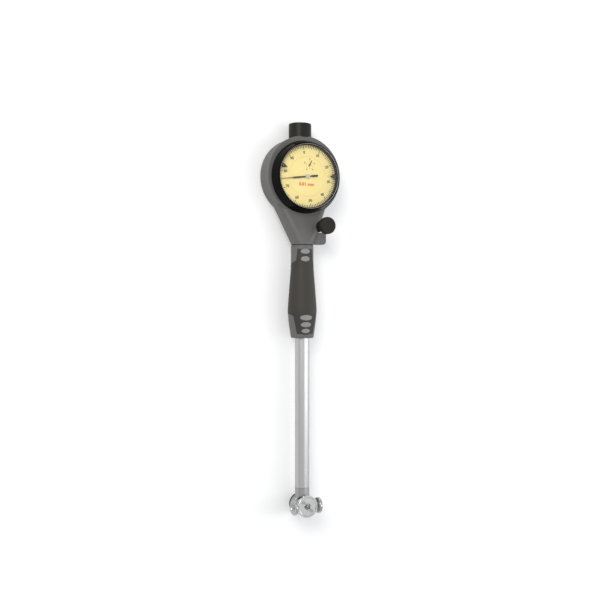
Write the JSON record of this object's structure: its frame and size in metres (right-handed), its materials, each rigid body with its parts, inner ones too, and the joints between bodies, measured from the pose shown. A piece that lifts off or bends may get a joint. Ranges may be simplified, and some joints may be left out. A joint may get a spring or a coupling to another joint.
{
  "type": "dial bore gauge",
  "caption": "Dial bore gauge: sprung measuring head with side wheels, long tube with a rubber grip, and a covered dial indicator with turning bezel.",
  "frame": {"origin": "under the middle of the gauge's length, below the tube's axis, in the plane on which the cover's back and the anvil's tip rest", "axes": "+X to the right across the dial, +Y up the tube from the measuring head to the dust cap, +Z out of the dial"},
  "size_m": [0.0618, 0.3058, 0.0324],
  "materials": {
    "cover_grey": "moulded, fine satin grain",
    "handle_grey": "moulded, satin",
    "grip_rubber": "soft matt rubber",
    "inlay_grey": "moulded, satin",
    "black_rubber": "matt",
    "black_plastic": "satin",
    "bezel_black": "glossy lacquer",
    "crystal_clear": "clear",
    "dial_yellow": "printed matt enamel",
    "marker_black": "matt",
    "pointer_black": "black",
    "tube_steel": "satin ground",
    "head_nickel": "matt nickel plate",
    "bright_nickel": "bright plate",
    "wheel_steel": "ground",
    "screw_steel": "bright",
    "screw_black": "black oxide",
    "brass_bush": "turned",
    "hardened_steel": "ground",
    "carbide": "lapped",
    "black_oxide": "black oxide",
    "spring_steel": "drawn wire",
    "case_alloy": "turned",
    "brass_plate": "brushed"
  },
  "bodies": {
    "frame": {"cover_shell": "cover_grey", "handle_body": "handle_grey", "rubber_grip": "grip_rubber", "grip_inlays": "inlay_grey", "handle_gasket": "black_rubber", "dust_cap": "black_plastic", "tube": "tube_steel", "head_body": "head_nickel", "crank_pin": "hardened_steel", "contact_bush": "brass_bush", "anvil": "hardened_steel", "anvil_tip": "carbide", "guide_screws": "screw_black", "centraliser_springs": "spring_steel", "rod_guide": "brass_bush", "rod_spring": "spring_steel", "indicator_case": "case_alloy", "case_back": "case_alloy", "case_screws": "screw_steel", "indicator_stem": "hardened_steel", "spindle_bush": "brass_bush", "dial_centre": "dial_yellow", "case_pillars": "brass_bush", "plate_pillars": "brass_bush", "movement_back_plate": "brass_plate", "movement_front_plate": "brass_plate"},
    "push_rod": {"push_rod": "hardened_steel"},
    "contact": {"contact_plunger": "hardened_steel", "contact_tip": "carbide"},
    "crank": {"bell_crank": "hardened_steel"},
    "spindle": {"spindle_rack": "hardened_steel", "spindle_point": "hardened_steel"},
    "rack_arbor": {"rack_wheel": "brass_plate"},
    "centre_arbor": {"centre_pinion": "hardened_steel", "pointer": "pointer_black"},
    "takeup_arbor": {"takeup_wheel": "brass_plate", "hairspring": "spring_steel", "counter_hand": "pointer_black"},
    "bezel": {"bezel_ring": "bezel_black", "crystal": "crystal_clear", "dial_ring": "dial_yellow"},
    "tolerance_left": {"tolerance_hand_left": "marker_black"},
    "tolerance_right": {"tolerance_hand_right": "marker_black"},
    "centraliser": {"centraliser_cup": "bright_nickel", "axle_screw_left": "screw_steel", "axle_screw_right": "screw_steel"},
    "wheel_left": {"wheel_left": "wheel_steel"},
    "wheel_right": {"wheel_right": "wheel_steel"},
    "clamp_screw": {"clamp_screw": "black_plastic"},
    "lock_ring": {"lock_ring": "black_oxide"}
  },
  "joints": [
    {"name": "rod_slide", "type": "slide", "parent": "frame", "child": "push_rod", "axis": [0, 1, 0], "range_m": [0, 0.0012], "stiffness_N_per_m": 1200, "springref_m": -0.0025},
    {"name": "contact_slide", "type": "slide", "parent": "frame", "child": "contact", "axis": [0, 0, -1], "range_m": [0, 0.0012]},
    {"name": "crank_turn", "type": "hinge", "parent": "frame", "child": "crank", "pos_m": [0, -0.14135, 0.0175], "axis": [1, 0, 0], "range_deg": [0, 22.93]},
    {"name": "spindle_slide", "type": "slide", "parent": "frame", "child": "spindle", "axis": [0, 1, 0], "range_m": [0, 0.0012]},
    {"name": "rack_arbor_turn", "type": "hinge", "parent": "frame", "child": "rack_arbor", "pos_m": [-0.0021, 0.10115, 0.0145], "axis": [0, 0, 1], "range_deg": [0, 43.21]},
    {"name": "pointer_turn", "type": "hinge", "parent": "frame", "child": "centre_arbor", "pos_m": [0, 0.11025, 0.0145], "axis": [0, 0, 1], "range_deg": [-432.05, 0]},
    {"name": "takeup_turn", "type": "hinge", "parent": "frame", "child": "takeup_arbor", "pos_m": [0.0021, 0.11935, 0.0145], "axis": [0, 0, 1], "range_deg": [0, 43.21]},
    {"name": "bezel_turn", "type": "hinge", "parent": "frame", "child": "bezel", "pos_m": [0, 0.11025, 0.0225], "axis": [0, 0, 1], "continuous": true},
    {"name": "left_tolerance_turn", "type": "hinge", "parent": "bezel", "child": "tolerance_left", "pos_m": [0, 0.11025, 0.0259], "axis": [0, 0, 1], "range_deg": [-60, 60]},
    {"name": "right_tolerance_turn", "type": "hinge", "parent": "bezel", "child": "tolerance_right", "pos_m": [0, 0.11025, 0.0259], "axis": [0, 0, 1], "range_deg": [-60, 60]},
    {"name": "centraliser_slide", "type": "slide", "parent": "frame", "child": "centraliser", "axis": [0, 0, -1], "range_m": [0, 0.0026], "stiffness_N_per_m": 800, "springref_m": -0.003, "deforming": ["centraliser_springs"]},
    {"name": "left_wheel_spin", "type": "hinge", "parent": "centraliser", "child": "wheel_left", "pos_m": [-0.01025, -0.14435, 0.022], "axis": [1, 0, 0], "continuous": true},
    {"name": "right_wheel_spin", "type": "hinge", "parent": "centraliser", "child": "wheel_right", "pos_m": [0.01025, -0.14435, 0.022], "axis": [1, 0, 0], "continuous": true},
    {"name": "clamp_screw_turn", "type": "hinge", "parent": "frame", "child": "clamp_screw", "pos_m": [0.014, 0.07245, 0.0245], "axis": [0, 0, 1], "range_deg": [0, 360]},
    {"name": "lock_ring_turn", "type": "hinge", "parent": "frame", "child": "lock_ring", "pos_m": [0, -0.14435, 0.0065], "axis": [0, 0, 1], "range_deg": [0, 360]}
  ],
  "couplings": [
    {"joint": "contact_slide", "follows": "rod_slide", "ratio": 1},
    {"joint": "crank_turn", "follows": "rod_slide", "rad_per_m": 333.33},
    {"joint": "spindle_slide", "follows": "rod_slide", "ratio": 1},
    {"joint": "rack_arbor_turn", "follows": "rod_slide", "rad_per_m": 628.32},
    {"joint": "pointer_turn", "follows": "rod_slide", "rad_per_m": -6283.2},
    {"joint": "takeup_turn", "follows": "rod_slide", "rad_per_m": 628.32}
  ]
}
